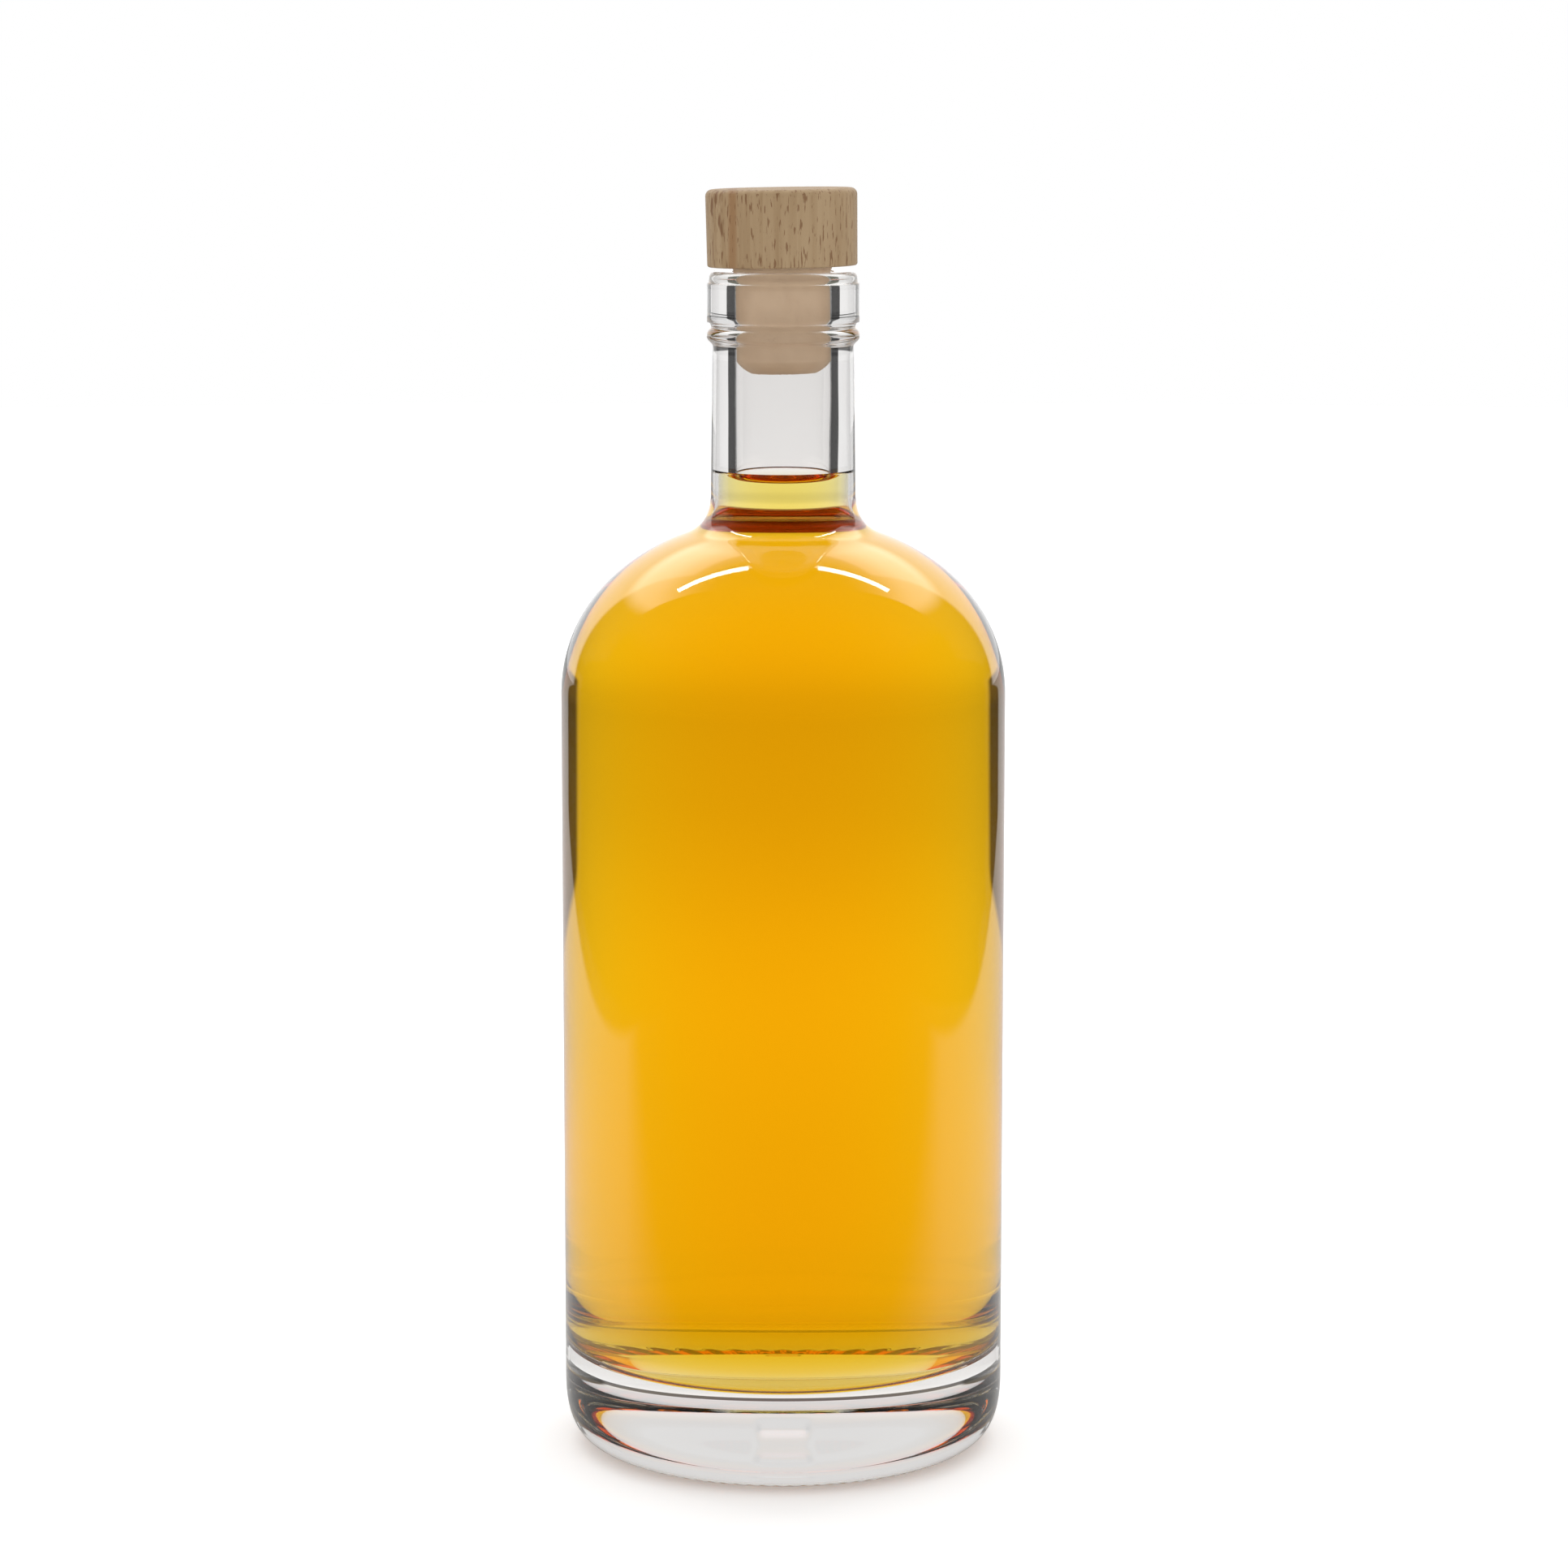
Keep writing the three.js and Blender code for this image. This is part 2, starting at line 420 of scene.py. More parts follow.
@dataclass(frozen=True)
class AmberSpirit:
    """Amber spirit: light is absorbed along its path, most in the blue."""

    ior: float = 1.36
    colour: tuple = (1.0, 0.888, 0.0)
    density: float = 90.0

    def build(self) -> bpy.types.Material:
        """Returns the liquid material."""
        material, tree, shader, output = new_material("amber_spirit")
        shader.inputs["Base Color"].default_value = (1, 1, 1, 1)
        shader.inputs["Roughness"].default_value = 0.0
        shader.inputs["IOR"].default_value = self.ior
        shader.inputs["Specular Tint"].default_value = (0, 0, 0, 1)
        shader.inputs["Transmission Weight"].default_value = 1.0
        volume = tree.nodes.new("ShaderNodeVolumeAbsorption")
        volume.inputs["Color"].default_value = (*self.colour, 1)
        volume.inputs["Density"].default_value = self.density
        link(tree, volume.outputs["Volume"], output.inputs["Volume"])
        return material


@dataclass(frozen=True)
class BeechWood:
    """Turned, sanded beech with upright grain, short dark flecks and faint growth rings."""

    pale: tuple = (0.44, 0.305, 0.17)
    deep: tuple = (0.335, 0.21, 0.10)
    fleck: tuple = (0.185, 0.075, 0.022)
    streak: tuple = (0.32, 0.165, 0.065)
    streak_x: float = -9.5 * MM
    ring_pitch: float = 2.6 * MM
    ring_edge: tuple = (0.55, 0.98)
    ring_share: float = 0.25
    pith: tuple = (-52 * MM, 18 * MM)
    drift: tuple = (60.0, 0.12, 0.5, 0.2)
    wander: float = 1.6
    grain: tuple = (700.0, 0.05, 0.42, 0.25)
    broad: tuple = (160.0, 0.10, 0.40, 0.25)
    flecks: tuple = (2300.0, 0.15, 0.59, 0.06)
    large: tuple = (420.0, 0.28, 0.61, 0.05)
    large_side: tuple = (-5.5 * MM, -8.5 * MM)
    tone_shares: tuple = (0.45, 0.35)
    mark_shares: tuple = (0.7, 0.75)
    streak_half: tuple = (1.2 * MM, 0.3 * MM)
    relief: float = 0.1 * MM

    def build(self) -> bpy.types.Material:
        """Returns the wood material."""
        material, tree, shader, _ = new_material("turned_beech")
        x, y, _ = position(tree)
        grain, broad = fibres(tree, *self.grain), fibres(tree, *self.broad)
        tone = maths(tree, "ADD", product(tree, grain.outputs["Mask"], self.tone_shares[0]),
                     product(tree, broad.outputs["Mask"], self.tone_shares[1]))
        ringed = maths(tree, "ADD", tone, product(tree, self.rings(tree, x, y), self.ring_share))
        body = mixed(tree, ringed, self.pale, self.deep)
        large = product(tree, fibres(tree, *self.large).outputs["Mask"],
                        ranged(tree, x, self.large_side))
        flecks = fibres(tree, *self.flecks).outputs["Mask"]
        marks = maths(tree, "MAXIMUM", product(tree, flecks, self.mark_shares[0]),
                      product(tree, large, self.mark_shares[1]))
        aside = maths(tree, "ABSOLUTE", maths(tree, "SUBTRACT", x, self.streak_x))
        streak = product(tree, ranged(tree, aside, self.streak_half),
                         ranged(tree, broad.outputs["Tone"], (0.3, 0.6), (0.25, 0.75)))
        body = mixed(tree, streak, body, self.streak)
        link(tree, mixed(tree, marks, body, self.fleck), shader.inputs["Base Color"])
        link(tree, ranged(tree, tone, (0.0, 1.0), (0.62, 0.5)), shader.inputs["Roughness"])
        height = maths(tree, "ADD", marks, product(tree, grain.outputs["Mask"], 0.4))
        dented(tree, shader, height, 0.35, self.relief)
        shader.inputs["IOR"].default_value = 1.45
        return material

    def rings(self, tree: Tree, x: object, y: object) -> object:
        """Growth rings: fract(r / pitch + wander * tone), r being the distance from the pith.

        Args:
            tree: The wood's tree.
            x: Socket across.
            y: Socket back.

        Returns:
            Socket with 1 in the late wood of each ring.
        """
        reach = length(tree, maths(tree, "SUBTRACT", x, self.pith[0]),
                       maths(tree, "SUBTRACT", y, self.pith[1]))
        turns = maths(tree, "ADD", maths(tree, "DIVIDE", reach, self.ring_pitch),
                      product(tree, fibres(tree, *self.drift).outputs["Tone"], self.wander))
        return ranged(tree, maths(tree, "FRACT", turns), self.ring_edge)


@dataclass(frozen=True)
class SyntheticCork:
    """Matt closed-cell plastic cork with faint mottling and a skin of tiny pores."""

    pale: tuple = (0.90, 0.665, 0.445)
    deep: tuple = (0.79, 0.56, 0.36)
    cloud: tuple = (220.0, 0.6, 0.35, 0.3)
    pores: tuple = (3500.0, 1.0, 0.62, 0.08)
    relief: float = 0.06 * MM

    def build(self) -> bpy.types.Material:
        """Returns the shank material."""
        material, tree, shader, _ = new_material("beige_synthetic_cork")
        cloud = fibres(tree, *self.cloud).outputs["Mask"]
        pores = fibres(tree, *self.pores).outputs["Mask"]
        tone = maths(tree, "ADD", product(tree, cloud, 0.6), product(tree, pores, 0.4))
        link(tree, mixed(tree, tone, self.pale, self.deep), shader.inputs["Base Color"])
        link(tree, ranged(tree, pores, (0.0, 1.0), (0.55, 0.75)), shader.inputs["Roughness"])
        dented(tree, shader, pores, 0.3, self.relief)
        return material


# The bottle and what is in it


@dataclass
class BottleShape:
    """Sizes of the blown bottle in mm, the same as the frame's."""

    body_r: float = 42.6
    lip_top: float = 227.2
    ring_in: float = 30.5
    ring_out: float = 33.0
    push_up: float = 2.7
    push_up_r: float = 29.9
    heel_z: float = 14.0
    heel_n: float = 2.8
    shoulder_z: float = 146.3
    shoulder_rise: float = 34.1
    shoulder_n: float = 2.1
    shoulder_end_r: float = 18.75
    neck_low: tuple = (13.8, 185.2)
    neck_top_r: float = 13.45
    bead_r: float = 14.56
    bead_drop: float = 12.05
    bead_round: float = 1.56
    groove_r: float = 13.75
    groove_drop: float = 10.35
    lip_r: float = 14.48
    lip_drop: float = 9.5
    seam_drop: float = 2.4
    step_r: float = 14.1
    lip_round: float = 1.2
    mouth_round: float = 0.8
    wall: float = 3.65
    floor_z: float = 18.4
    floor_crown: float = 0.8
    floor_corner: float = 5.0
    cavity_rise: float = 30.6
    cavity_end_r: float = 16.5
    bore_r: float = 9.2
    bore_low: tuple = (9.1, 184.0)

    def slope_end(self, radius: float, reach: float) -> float:
        """Angle in degrees at which a shoulder of the given reach has narrowed to `radius`."""
        return math.degrees(math.acos((radius / reach) ** (self.shoulder_n / 2)))

    def underside(self) -> np.ndarray:
        """Flat hollow under the base, its short side and the contact ring's flat."""
        flat = straight((0, self.push_up), (self.push_up_r, self.push_up), 12)
        side = quarter((self.push_up_r, 0), (self.ring_in - self.push_up_r, self.push_up), 2.6,
                       (90, 0), 9)
        return np.vstack([(0, self.push_up), flat, side, straight((self.ring_in, 0),
                                                                  (self.ring_out, 0), 4)])

    def heel(self) -> np.ndarray:
        """Heel from the contact ring up to the straight wall."""
        reach = (self.body_r - self.ring_out, -self.heel_z)
        return quarter((self.ring_out, self.heel_z), reach, self.heel_n, (90, 0), 46)

    def finish(self) -> np.ndarray:
        """Bead, groove, lip band, parting step, lip edge and mouth rounding, bottom to top."""
        top = self.lip_top
        axis_r = self.bead_r - self.bead_round
        sweep = math.acos((self.groove_r - axis_r) / self.bead_round)
        turn = np.linspace(-sweep, sweep, 15)
        bead = np.column_stack([axis_r + self.bead_round * np.cos(turn),
                                top - self.bead_drop + self.bead_round * np.sin(turn)])
        run_in = quarter((self.neck_top_r + 0.45, bead[0, 1] - 0.55), (-0.45, 0.5), 2, (0, 70), 6)
        foot = quarter((self.lip_r, top - self.groove_drop),
                       (self.groove_r - self.lip_r, self.groove_drop - self.lip_drop), 2,
                       (0, 90), 9)
        band = straight((self.lip_r, foot[-1, 1] + 0.05), (self.lip_r, top - self.seam_drop), 4)
        seam = quarter((self.step_r, top - self.seam_drop), (self.lip_r - self.step_r, 0.35), 2,
                       (0, 80), 6)
        edge = quarter((self.step_r - self.lip_round, top - self.lip_round),
                       (self.lip_round, self.lip_round), 2, (0, 90), 12)
        mouth = quarter((self.bore_r + self.mouth_round, top - self.mouth_round),
                        (-self.mouth_round, self.mouth_round), 2, (90, 0), 9)
        return np.vstack([run_in, bead, foot, band, seam, edge, mouth])

    def outside(self) -> np.ndarray:
        """Whole outside profile from the centre of the hollow to the mouth."""
        end = self.slope_end(self.shoulder_end_r, self.body_r)
        shoulder = quarter((0, self.shoulder_z), (self.body_r, self.shoulder_rise),
                           self.shoulder_n, (0, end), 62)
        root = fillet(shoulder, self.neck_low, 20)
        heel, top = self.heel(), self.finish()
        wall = straight(tuple(heel[-1]), tuple(shoulder[0]), 20)
        neck = straight(tuple(root[-1]), tuple(top[0]), 8)
        return np.vstack([self.underside(), heel, wall, shoulder, root, neck, top])

    def cavity(self, swell: float = 0.0) -> np.ndarray:
        """Cavity profile from the floor's centre up to the bore.

        Args:
            swell: Radius and depth added all round, in mm.

        Returns:
            Array of (radius, height) rows.
        """
        wall_r, floor = self.body_r - self.wall + swell, self.floor_z - swell
        flat_r = wall_r - self.floor_corner
        share = np.linspace(0, 1, 12)
        base = np.column_stack([flat_r * share, floor + self.floor_crown * (1 - share ** 2)])
        corner = quarter((flat_r, floor + self.floor_corner),
                         (self.floor_corner, -self.floor_corner), 2, (90, 0), 16)
        end = self.slope_end(self.cavity_end_r, wall_r)
        shoulder = quarter((0, self.shoulder_z), (wall_r, self.cavity_rise + swell),
                           self.shoulder_n, (0, end), 34)
        wall = straight(tuple(corner[-1]), tuple(shoulder[0]), 26)
        root = fillet(shoulder, (self.bore_low[0] + swell, self.bore_low[1]), 16)
        return np.vstack([base[:-1], corner, wall, shoulder, root])


@dataclass
class Ripple:
    """Slight unevenness of the blown inner wall, a seeded sum of slow waves in mm."""

    depth: float = 0.045
    bore_share: float = 0.55
    floor_ease: tuple = (20.5, 30)
    lip_ease: tuple = (205, 218)
    bore_ease: tuple = (200, 214)
    full_r: float = 20
    waves: int = 14
    seed: int = 7

    def at(self, height: np.ndarray, angle: np.ndarray) -> np.ndarray:
        """Radius change: sum of a cos(m phi + k z + p) over the waves.

        Args:
            height: Heights in mm, as a column.
            angle: Angles in radians, as a row.

        Returns:
            Grid of radius changes in mm.
        """
        draw = np.random.default_rng(self.seed)
        turns = draw.integers(1, 9, self.waves)
        pitch = draw.uniform(9, 60, self.waves)
        phase = draw.uniform(0, 2 * math.pi, self.waves)
        level = draw.uniform(0.3, 1.0, self.waves)
        wave = np.cos(turns[:, None, None] * angle[None] + 2 * math.pi * height[None]
                      / pitch[:, None, None] + phase[:, None, None])
        return self.depth * (level[:, None, None] * wave).sum(axis=0) / math.sqrt(self.waves)


@dataclass
class FilledBottle:
    """The blown bottle and the spirit in it."""

    shape: BottleShape = field(default_factory=BottleShape)
    ripple: Ripple = field(default_factory=Ripple)
    columns: int = 200
    notch_columns: int = 54
    notch_half_width: float = 1.35
    notch_draft: float = 0.6
    notch_top: float = 8.8
    notch_floor: float = 41.8
    notch_ease: tuple = (1.2, 0.6)
    notch_sector: float = 0.13
    fill_level: float = 187.3
    meniscus_rise: float = 2.1
    meniscus_reach: float = 1.6
    overlap: float = 0.05

    def angles(self) -> np.ndarray:
        """Angles round the axis, closer together at the notch in the back of the heel."""
        return angles_with_focus(self.columns, math.pi / 2, self.notch_sector,
                                 self.notch_columns)

    def notched(self, grid: np.ndarray) -> np.ndarray:
        """Presses the index notch into the back of the heel.

        Below the notch's top and between its sides, y is held to the notch floor; at the sides
        the pull eases off over the draft.

        Args:
            grid: Outside points in mm.

        Returns:
            The grid with the notch in it.
        """
        x, y, z = grid[..., 0], grid[..., 1], grid[..., 2]
        wide = 1 - smooth_step(self.notch_half_width, self.notch_half_width + self.notch_draft,
                               np.abs(x))
        tall = 1 - smooth_step(self.notch_top - self.notch_ease[0],
                               self.notch_top + self.notch_ease[1], z)
        depth = np.clip(y - self.notch_floor, 0, None) * wide * tall * (y > 0)
        out = grid.copy()
        out[..., 1] = y - depth
        return out

    def rippled(self, profile: np.ndarray, ease: np.ndarray) -> np.ndarray:
        """Turned grid of an inner profile with the ripple added to its radius.

        Args:
            profile: Rows of (radius, height) in mm.
            ease: Column with the share of the ripple at each row.

        Returns:
            Grid of points in mm.
        """
        angles = self.angles()
        grid = turned_points(profile, angles)
        change = self.ripple.at(profile[:, 1][:, None], angles[None, :]) * ease
        grid[..., 0] += change * np.cos(angles)
        grid[..., 1] += change * np.sin(angles)
        return grid

    def inner_grid(self, swell: float) -> np.ndarray:
        """Inner wall with its ripple, floor centre to bore, grown by `swell` mm."""
        profile = self.shape.cavity(swell)
        reach, height = profile[:, 0][:, None], profile[:, 1][:, None]
        near = np.clip(reach / self.ripple.full_r, self.ripple.bore_share, 1)
        return self.rippled(profile, near * smooth_step(*self.ripple.floor_ease, height)
                            * (1 - smooth_step(*self.ripple.lip_ease, height)))

    def bore_grid(self, swell: float) -> np.ndarray:
        """Bore above the cavity up to the mouth's rounding, the ripple dying out upwards."""
        shape = self.shape
        profile = straight((shape.bore_low[0] + swell, shape.bore_low[1]),
                           (shape.bore_r, shape.lip_top - shape.mouth_round), 34)
        ease = 1 - smooth_step(*self.ripple.bore_ease, profile[:, 1][:, None])
        return self.rippled(profile, self.ripple.bore_share * ease)

    def glass(self) -> bpy.types.Object:
        """Builds the glass: outside up, over the lip and down the inside."""
        outside = self.notched(turned_points(self.shape.outside(), self.angles()))
        return closed_turning("bottle_glass", np.concatenate(
            [outside, self.bore_grid(0)[::-1], self.inner_grid(0)[::-1]]))

    def spirit(self) -> bpy.types.Object:
        """Builds the liquid: wetted wall up to the contact line, then the meniscus.

        The surface stands at level + rise * exp(-d / reach), with d the distance from the wall.
        """
        contact = self.fill_level + self.meniscus_rise
        wall = self.inner_grid(self.overlap)
        bore = self.bore_grid(self.overlap)
        bore = bore[bore[:, 0, 2] < contact - 0.2]
        low, high = self.shape.bore_low, (self.shape.bore_r, self.shape.lip_top)
        wet_r = low[0] + (high[0] - low[0]) * (contact - low[1]) / (high[1] - low[1])
        inward = np.concatenate([[-self.overlap], np.linspace(0.02, 1, 26) ** 1.7 * wet_r])
        surface = np.column_stack([wet_r - inward, self.fill_level + self.meniscus_rise
                                   * np.exp(-np.clip(inward, 0, None) / self.meniscus_reach)])
        top = turned_points(surface, self.angles())
        return closed_turning("spirit", np.concatenate([wall, bore, top]))

    def mark_wetted(self, glass: bpy.types.Object) -> None:
        """Gives the faces that the spirit wets the second material, which has no glint there."""
        count = len(glass.data.polygons)
        centres, normals = np.empty(count * 3), np.empty(count * 3)
        glass.data.polygons.foreach_get("center", centres)
        glass.data.polygons.foreach_get("normal", normals)
        centres, normals = centres.reshape(-1, 3) / MM, normals.reshape(-1, 3)
        out = np.hypot(centres[:, 0], centres[:, 1])
        facing = (normals[:, :2] * centres[:, :2]).sum(axis=1) / np.maximum(out, 1e-6)
        side = (facing < -0.02) & (centres[:, 2] > 60)
        basin = (centres[:, 2] > self.shape.floor_z - 0.5) & (out < self.shape.body_r - 2)
        wet = (side | basin) & (centres[:, 2] < self.fill_level + self.meniscus_rise)
        outer = (centres[:, 2] > self.shape.shoulder_z) & (facing > 0)
        glass.data.polygons.foreach_set("material_index", (wet & ~outer).astype(np.int32))

    def build(self) -> list:
        """Builds and dresses both pieces.

        Returns:
            The two objects.
        """
        glass, spirit = self.glass(), self.spirit()
        glass.data.materials.append(ClearGlass().build())
        glass.data.materials.append(ClearGlass(name="wetted_flint_glass", glint=0.0).build())
        self.mark_wetted(glass)
        spirit.data.materials.append(AmberSpirit().build())
        for piece, node, slot in ((glass, "glass_bottle", "clear_glass"),
                                  (spirit, "spirit_fill", "amber_liquid")):
            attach(piece, "bottle")
            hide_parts(node)
        return [glass, spirit]


@dataclass
class Stopper:
    """Turned wooden head on a synthetic-cork shank, sitting slightly askew; sizes in mm."""

    lip_top: float = 227.2
    columns: int = 160
    shank_r: float = 8.95
    collar_r: float = 9.4
    shank_bottom: float = 208.0
    corner: tuple = (2.9, 2.6)
    corner_n: float = 1.35
    foot_rough: float = 0.16
    head_lift: float = 1.0
    head_height: float = 14.6
    head_low_r: float = 14.24
    head_top_r: float = 14.38
    edge_top: float = 1.3
    edge_low: float = 0.45
    recess_depth: float = 8.0
    recess_gap: float = 0.3
    lean_deg: float = 0.9
    pivot_drop: float = 9.0

    def leaning(self, grid: np.ndarray) -> np.ndarray:
        """Turns points about Y by minus the lean, round a point on the axis in the mouth."""
        angle = math.radians(-self.lean_deg)
        pivot = self.lip_top - self.pivot_drop
        x, z = grid[..., 0], grid[..., 2] - pivot
        out = grid.copy()
        out[..., 0] = x * math.cos(angle) + z * math.sin(angle)
        out[..., 2] = pivot - x * math.sin(angle) + z * math.cos(angle)
        return out

    def head(self) -> bpy.types.Object:
        """Builds the head with its blind recess, eased lower edge and rounded top edge."""
        low, top = self.lip_top + self.head_lift, self.lip_top + self.head_lift + self.head_height
        recess = self.collar_r + self.recess_gap
        ceiling = low + self.recess_depth
        lower = quarter((self.head_low_r - self.edge_low, low + self.edge_low),
                        (self.edge_low, -self.edge_low), 2, (90, 0), 8)
        upper = quarter((self.head_top_r - self.edge_top, top - self.edge_top),
                        (self.edge_top, self.edge_top), 2, (0, 90), 16)
        profile = np.vstack([
            (0, ceiling), (recess * 0.5, ceiling), (recess - 0.1, ceiling), (recess, ceiling - 0.1),
            straight((recess, ceiling), (recess, low), 4), (recess, low + 0.1),
            (recess + 0.1, low), straight((recess, low), tuple(lower[0]), 3), lower,
            straight(tuple(lower[-1]), tuple(upper[0]), 8), upper,
            straight(tuple(upper[-1]), (0, top + 0.05), 8), (0, top)])
        angles = np.linspace(0, 2 * math.pi, self.columns, endpoint=False)
        return closed_turning("stopper_head_turned", self.leaning(turned_points(profile, angles)))

    def shank(self) -> bpy.types.Object:
        """Builds the shank: rounded foot, squeezed length in the bore and collar above the lip."""
        foot = quarter((self.shank_r - self.corner[0], self.shank_bottom + self.corner[1]),
                       (self.corner[0], -self.corner[1]), self.corner_n, (90, 0), 14)
        top = self.lip_top + self.head_lift + self.recess_depth - self.recess_gap
        neck = self.lip_top - 0.5
        profile = np.vstack([
            (0, self.shank_bottom), straight((0, self.shank_bottom), tuple(foot[0]), 3), foot,
            straight(tuple(foot[-1]), (self.shank_r, neck), 20), (self.shank_r, neck),
            (self.shank_r + 0.12, neck + 0.35), (self.collar_r - 0.1, neck + 0.75),
            (self.collar_r, neck + 1.1),
            straight((self.collar_r, neck + 1.1), (self.collar_r, top), 5),
            (self.collar_r, top - 0.1), (self.collar_r - 0.1, top), (self.collar_r * 0.5, top),
            (0, top)])
        angles = np.linspace(0, 2 * math.pi, self.columns, endpoint=False)
        grid = self.rough_foot(turned_points(profile, angles), angles)
        return closed_turning("stopper_shank_moulded", self.leaning(grid))

    def rough_foot(self, grid: np.ndarray, angles: np.ndarray) -> np.ndarray:
        """Raises the lower edge unevenly: rise = rough * mean of three squared sines of phi.

        Args:
            grid: Shank points in mm, axis first.
            angles: Angle of each column in radians.

        Returns:
            The grid with a torn lower edge.
        """
        wave = sum(np.sin(count * angles + shift) ** 2
                   for count, shift in ((17, 0.4), (29, 1.9), (43, 0.9))) / 3
        reach = np.hypot(grid[..., 0], grid[..., 1])
        edge = self.shank_r - self.corner[0]
        near = smooth_step(edge - 1.2, edge, reach) * (
            1 - smooth_step(self.shank_bottom, self.shank_bottom + 1.6, grid[..., 2]))
        out = grid.copy()
        out[..., 2] += self.foot_rough * wave[None, :] * near
        return out

    def build(self) -> list:
        """Builds and dresses both pieces.

        Returns:
            The two objects.
        """
        head, shank = self.head(), self.shank()
        head.data.materials.append(BeechWood().build())
        shank.data.materials.append(SyntheticCork().build())
        for piece, node, slot in ((head, "stopper_head", "beech_wood"),
                                  (shank, "stopper_shank", "beige_synthetic_cork")):
            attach(piece, "stopper")
            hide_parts(node)
        return [head, shank]


# Studio


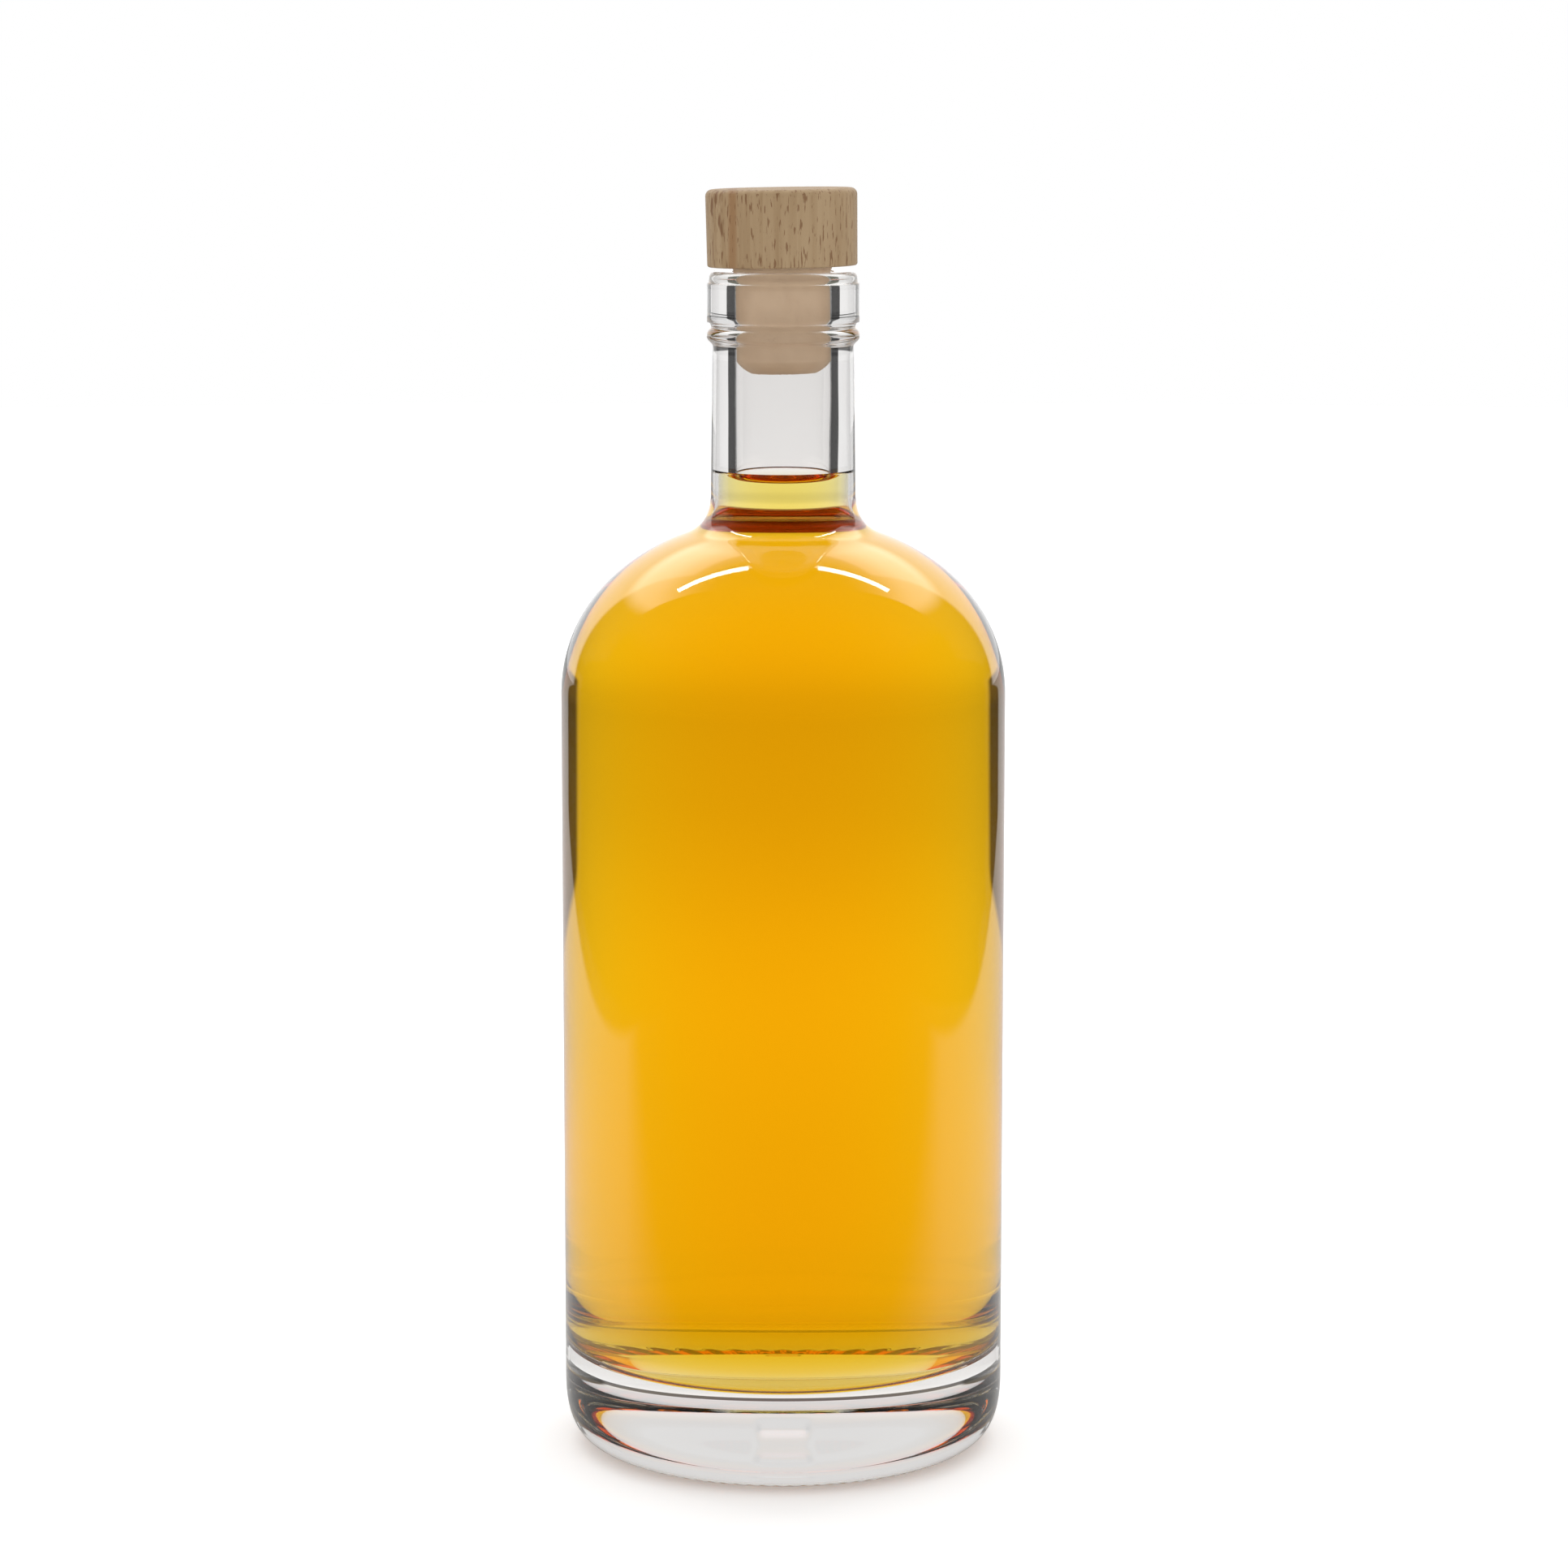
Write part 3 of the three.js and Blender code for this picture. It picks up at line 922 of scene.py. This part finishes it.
@dataclass
class Studio:
    """Plain pale floor, pale surroundings, overhead soft lamps and the camera; metres."""

    floor_r: float = 3.0
    floor_albedo: float = 0.92
    floor_drop: float = 0.0002
    camera_lift: float = 0.28
    # Painted light on the floor for rays through the glass: its level near the bottle, a falloff
    # and a rise far off.
    painted_light_near: tuple = (0.825, 0.88)
    near_reach: tuple = (0.1, 0.45)
    dip_start: tuple = (0.42, 0.85)
    dip_end: tuple = (1.7, 1.0)
    painted_falloff_depth: float = 0.17
    far_reach: tuple = (1.3, 2.5)
    painted_light_far: float = 0.2
    limit_reach: tuple = (1.2, 2.6)
    mirror_reach: tuple = (1.5, 3.0)
    shade_reach: tuple = (0.7, 1.4)
    table_half: tuple = (0.425, 0.465)
    table_front: tuple = (0.02, -0.12)
    table_front_through: tuple = (-0.10, -0.25)
    sweep_near: float = math.radians(44)
    sweep_far: float = math.radians(43)
    sweep_high: float = math.radians(64)
    sweep_up: float = math.radians(41)
    sweep_top: tuple = (0.6, 0.4)
    sweep_turn: tuple = (0.05, 0.25)
    sweep_mirrored: float = math.radians(33)
    soft: float = math.radians(2)
    surround: float = 0.92
    unlit: tuple = (0.05, 0.05, 0.05)
    unlit_near: tuple = (0.13, 0.13, 0.10)
    turn_back: tuple = (1.5, 2.0)
    dim_front: float = 0.4
    horizon: tuple = (0.06, 0.045)
    horizon_low: tuple = (-0.014, -0.006)
    horizon_wide: tuple = (1.4, 1.2)
    horizon_dip: float = 0.85
    low_sweep: tuple = (0.045, 0.08)
    low_dip: float = 0.19
    mirror_loss: float = 0.27
    sweep_glow: float = 1.3
    panel_glow: float = 2.1
    glow_top: tuple = (0.82, 0.79)
    glow_fade: tuple = (0.45, 0.62)
    glow_left: float = 0.7
    panel_low: tuple = (0.44, 0.56)
    panel_high: tuple = (0.93, 0.66)
    panel_slope: float = 0.32
    panel_inner: tuple = (0.12, 0.32)
    panel_outer: tuple = (1.18, 1.14)
    nothing: float = 0.01
    lamp_height: float = 1.15
    camera_at: tuple = (0.00015, -0.8865, 0.2621)
    tilt_deg: float = 8.54
    focal_px: float = 5736.0
    frame_px: int = 1932
    inner_bounces: int = 24

    def floor(self) -> None:
        """Round floor whose colour is white to the camera and keeps the object's shadow."""
        angles = np.linspace(0, 2 * math.pi, 96, endpoint=False)
        radii = np.array([0, 0.1, 0.3, 0.8, 1.6, self.floor_r])[:, None]
        grid = np.stack([radii * np.cos(angles), radii * np.sin(angles),
                         np.full((radii.size, angles.size), -self.floor_drop)], axis=-1)
        points = np.vstack([grid[1:].reshape(-1, 3), grid[0, 0]])
        count = angles.size
        here = np.arange(count)
        beside = (here + 1) % count
        level = np.arange(radii.size - 2)[:, None] * count
        quads = np.stack([level + here, level + count + here, level + count + beside,
                          level + beside], axis=-1).reshape(-1, 4)
        middle = np.stack([np.full(count, len(points) - 1), here, beside], axis=-1)
        mesh = bpy.data.meshes.new("studio_floor")
        mesh.from_pydata(points.tolist(), [], quads.tolist() + middle.tolist())
        made = bpy.data.objects.new("studio_floor", mesh)
        bpy.context.scene.collection.objects.link(made)
        mesh.materials.append(self.floor_material())

    def floor_material(self) -> bpy.types.Material:
        """Matt white, lifted to white for the camera; to glass it shows painted light and painted
        shade.

        Returns:
            The floor material.
        """
        material, tree, shader, output = new_material("studio_floor_white")
        x, back, _ = position(tree)
        aside = maths(tree, "ABSOLUTE", x)
        angle, reach = maths(tree, "ARCTAN2", aside, back), length(tree, aside, back)
        off = ranged(tree, aside, self.table_half)
        limit = ranged(tree, reach, self.limit_reach, (self.sweep_near, self.sweep_far))
        narrow = ranged(tree, reach, self.mirror_reach, (self.sweep_mirrored, self.sweep_up))
        # Painted shade for rays through the glass: in front of the table and past its sides the
        # floor takes the shade colour.
        through = maths(tree, "MAXIMUM", ranged(tree, back, self.table_front_through),
                        product(tree, off, self.past(tree, angle, limit)))
        mirrored = maths(tree, "MAXIMUM", ranged(tree, back, self.table_front),
                         product(tree, off, self.past(tree, angle, narrow)))
        # Painted light for rays through the glass: a lit level lower close to the bottle, a painted
        # falloff past 0.42 m and brighter far off.
        painted_falloff = product(tree, ranged(tree, reach, self.dip_start, (0.0, self.painted_falloff_depth)),
                      ranged(tree, reach, self.dip_end))
        near = maths(tree, "SUBTRACT", ranged(tree, reach, self.near_reach, self.painted_light_near), painted_falloff)
        far = ranged(tree, reach, self.far_reach, (0.0, self.painted_light_far))
        lit = maths(tree, "ADD", near, far)
        level = product(tree, lit, maths(tree, "SUBTRACT", 1.0, through))
        ray, glass, mirror = glass_rays(tree)
        shade = mixed(tree, ranged(tree, reach, self.shade_reach), self.unlit_near, self.unlit)
        unlit = product(tree, glass, maths(tree, "SUBTRACT", 1.0, level))
        tone = mixed(tree, unlit, (self.floor_albedo,) * 3, shade)
        # Painted shade in what the glass mirrors: the floor darker by at least mirror_loss, black
        # in front of the table and past its sides.
        mirrored_shade = maths(tree, "MAXIMUM", mirrored, self.mirror_loss)
        link(tree, mixed(tree, product(tree, mirror, mirrored_shade), tone, (self.nothing,) * 3),
             shader.inputs["Base Color"])
        shader.inputs["Roughness"].default_value = 1.0
        shader.inputs["Specular IOR Level"].default_value = 0.0
        glow = tree.nodes.new("ShaderNodeEmission")
        glow.inputs["Color"].default_value = (1, 1, 1, 1)
        link(tree, product(tree, ray.outputs["Is Camera Ray"], self.camera_lift),
             glow.inputs["Strength"])
        both = tree.nodes.new("ShaderNodeAddShader")
        link(tree, shader.outputs["BSDF"], both.inputs[0])
        link(tree, glow.outputs["Emission"], both.inputs[1])
        link(tree, both.outputs[0], output.inputs["Surface"])
        return material

    def past(self, tree: Tree, angle: object, limit: object) -> object:
        """Socket that turns softly from 0 to 1 where `angle` passes `limit`."""
        return ranged(tree, maths(tree, "SUBTRACT", angle, limit), (-self.soft, self.soft))

    def mirrored_sky(self, tree: Tree, angle: object, up: object) -> object:
        """What the glass mirrors above the table: the white sweep behind and two soft panels.

        Args:
            tree: World tree.
            angle: Socket with the angle from straight behind, in radians.
            up: Socket with the sine of the elevation.

        Returns:
            Socket with the radiance.
        """
        sweep = ranged(tree, angle, (self.sweep_up + self.soft, self.sweep_up - self.soft))
        fading = ranged(tree, up, self.glow_fade,
                        (self.sweep_glow, self.glow_left * self.sweep_glow))
        back = product(tree, ranged(tree, up, self.glow_top), product(tree, sweep, fading))
        rise = maths(tree, "MAXIMUM", 0.0, maths(tree, "SUBTRACT", angle, self.sweep_up))
        edge = maths(tree, "SUBTRACT", up, product(tree, rise, self.panel_slope))
        height = product(tree, ranged(tree, edge, self.panel_low),
                         ranged(tree, up, self.panel_high))
        panel = product(tree, height, product(tree, ranged(tree, angle, self.panel_inner),
                                              ranged(tree, angle, self.panel_outer)))
        glow = maths(tree, "ADD", back, product(tree, panel, self.panel_glow))
        return maths(tree, "ADD", self.nothing, glow)

    def seen_sky(self, tree: Tree, angle: object, up: object) -> object:
        """What is seen through the glass above the table: the sweep, a dark room beside it.

        Args:
            tree: World tree.
            angle: Socket with the angle from straight behind, in radians.
            up: Socket with the sine of the elevation.

        Returns:
            Socket with the radiance.
        """
        limit = ranged(tree, up, self.sweep_turn, (self.sweep_far, self.sweep_high))
        room = product(tree, ranged(tree, up, self.sweep_top), self.past(tree, angle, limit))
        dim = ranged(tree, angle, self.turn_back, (self.unlit[0], self.dim_front))
        lit = maths(tree, "SUBTRACT", self.surround,
                    product(tree, room, maths(tree, "SUBTRACT", self.surround, dim)))
        gap = product(tree, ranged(tree, up, self.horizon), product(
            tree, ranged(tree, up, self.horizon_low), ranged(tree, angle, self.horizon_wide)))
        low = product(tree, ranged(tree, up, self.low_sweep), ranged(tree, up, self.sweep_top))
        loss = maths(tree, "ADD", product(tree, gap, self.horizon_dip),
                     product(tree, low, self.low_dip))
        return product(tree, lit, maths(tree, "SUBTRACT", 1.0, loss))

    def world(self) -> None:
        """Surroundings: white to the camera, pale to matt faces, a dark room behind glass."""
        world = bpy.data.worlds.new("studio_world")
        bpy.context.scene.world = world
        world.use_nodes = True
        tree = world.node_tree
        tree.nodes.clear()
        output = tree.nodes.new("ShaderNodeOutputWorld")
        glow = tree.nodes.new("ShaderNodeBackground")
        glow.inputs["Color"].default_value = (1, 1, 1, 1)
        x, y, up = position(tree, "Generated")
        angle = maths(tree, "ARCTAN2", maths(tree, "ABSOLUTE", x), y)
        ray, glass, mirror = glass_rays(tree)
        plain = maths(tree, "SUBTRACT", 1.0, maths(tree, "ADD", glass, mirror))
        level = maths(tree, "ADD", self.surround,
                      product(tree, ray.outputs["Is Camera Ray"], 1.0 - self.surround))
        parts = [product(tree, share, value) for share, value in (
            (plain, level), (glass, self.seen_sky(tree, angle, up)),
            (mirror, self.mirrored_sky(tree, angle, up)))]
        link(tree, maths(tree, "ADD", parts[0], maths(tree, "ADD", parts[1], parts[2])),
             glow.inputs["Strength"])
        link(tree, glow.outputs["Background"], output.inputs["Surface"])

    def lamp(self, name: str, at: tuple, size: tuple, radiance: float) -> None:
        """Area lamp facing down.

        Args:
            name: Lamp name.
            at: Centre in metres.
            size: Extent along X and Y in metres.
            radiance: Brightness of its face, where 1 is white.
        """
        data = bpy.data.lights.new(name, "AREA")
        data.shape = "RECTANGLE"
        data.size, data.size_y = size
        data.energy = radiance * math.pi * size[0] * size[1]
        made = bpy.data.objects.new(name, data)
        made.location = at
        made.visible_transmission = False
        bpy.context.scene.collection.objects.link(made)

    def lamps(self) -> None:
        """Two soft lamps above, a little behind, and two narrow strips further back."""
        h = self.lamp_height
        for side in (-1, 1):
            self.lamp(f"soft_lamp_{side}", (side * 0.43 * h, 0.40 * h, h + 0.17),
                      (0.50 * h, 0.075 * h), 16.0)
            self.lamp(f"strip_lamp_{side}", (side * 0.14 * h, 0.74 * h, h + 0.17),
                      (0.08 * h, 0.70 * h), 3.0)

    def camera(self) -> None:
        """Camera at the photograph's place: level horizon, tilted down, long lens."""
        data = bpy.data.cameras.new("photo_camera")
        data.sensor_width = 36.0
        data.lens = self.focal_px / self.frame_px * 36.0
        data.clip_start, data.clip_end = 0.01, 20.0
        made = bpy.data.objects.new("photo_camera", data)
        made.location = self.camera_at
        made.rotation_euler = (math.radians(90 - self.tilt_deg), 0, 0)
        bpy.context.scene.collection.objects.link(made)
        bpy.context.scene.camera = made

    def build(self) -> None:
        """Sets the whole studio."""
        self.floor()
        self.world()
        self.lamps()
        self.camera()
        bpy.context.scene.view_settings.view_transform = "Standard"
        self.let_light_through()

    def let_light_through(self) -> None:
        """Allows the many inner reflections of the thick base and the neck root."""
        cycles = bpy.context.scene.cycles
        cycles.glossy_bounces = cycles.transmission_bounces = self.inner_bounces
        cycles.max_bounces = self.inner_bounces + 4


def main() -> None:
    logging.basicConfig(level=logging.INFO, format="%(message)s")
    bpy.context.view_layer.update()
    Studio().build()
    for piece in [*FilledBottle().build(), *Stopper().build()]:
        LOG.info("%s: %d faces", piece.name, len(piece.data.polygons))


if __name__ == "__main__":
    main()
